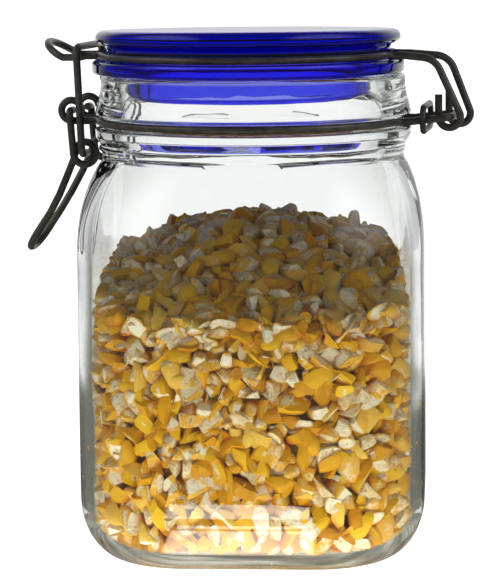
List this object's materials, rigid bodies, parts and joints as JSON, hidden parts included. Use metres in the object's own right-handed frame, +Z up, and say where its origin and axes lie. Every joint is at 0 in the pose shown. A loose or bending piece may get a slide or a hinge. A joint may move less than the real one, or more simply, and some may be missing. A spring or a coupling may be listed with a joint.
{
  "type": "clamp lid canister",
  "caption": "Square clear glass storage jar with rounded corners, a blue glass lid held by a wire clamp latch, filled with cracked corn.",
  "frame": {"origin": "centre of the flat base, at the height it stands on", "axes": "+Z up, -Y the jar's front as seen in the picture, +X the side of the lid's hinge, -X the side of the latch"},
  "size_m": [0.1462, 0.1104, 0.1677],
  "materials": {
    "clear_glass": "clear pressed glass, smooth",
    "blue_glass": "deep violet-blue glass, smooth",
    "dark_steel_wire": "dark grey drawn steel wire, faint lengthwise sheen",
    "cracked_corn": "floury yellow and cream broken kernels"
  },
  "bodies": {
    "jar": {"jar_glass": "clear_glass", "corn_heap": "cracked_corn", "collar_wire": "dark_steel_wire", "collar_clip": "dark_steel_wire"},
    "lid": {"lid_glass": "blue_glass", "lid_wire": "dark_steel_wire"},
    "lever": {"lever": "dark_steel_wire"},
    "link": {"link": "dark_steel_wire"}
  },
  "joints": [
    {"name": "lid_hinge", "type": "hinge", "parent": "jar", "child": "lid", "pos_m": [0.06479, -0.00853, 0.1404], "axis": [0.1305, 0.9914, 0], "range_deg": [0, 110]},
    {"name": "lever_hinge", "type": "hinge", "parent": "jar", "child": "lever", "pos_m": [-0.05711, 0.00752, 0.1421], "axis": [0.1305, 0.9914, 0], "range_deg": [0, 105]},
    {"name": "link_hinge", "type": "hinge", "parent": "lever", "child": "link", "pos_m": [-0.0525, 0.00691, 0.1284], "axis": [0.1305, 0.9914, 0], "range_deg": [-75, 0]}
  ],
  "couplings": [
    {"joint": "link_hinge", "follows": "lever_hinge", "ratio": -0.7}
  ]
}
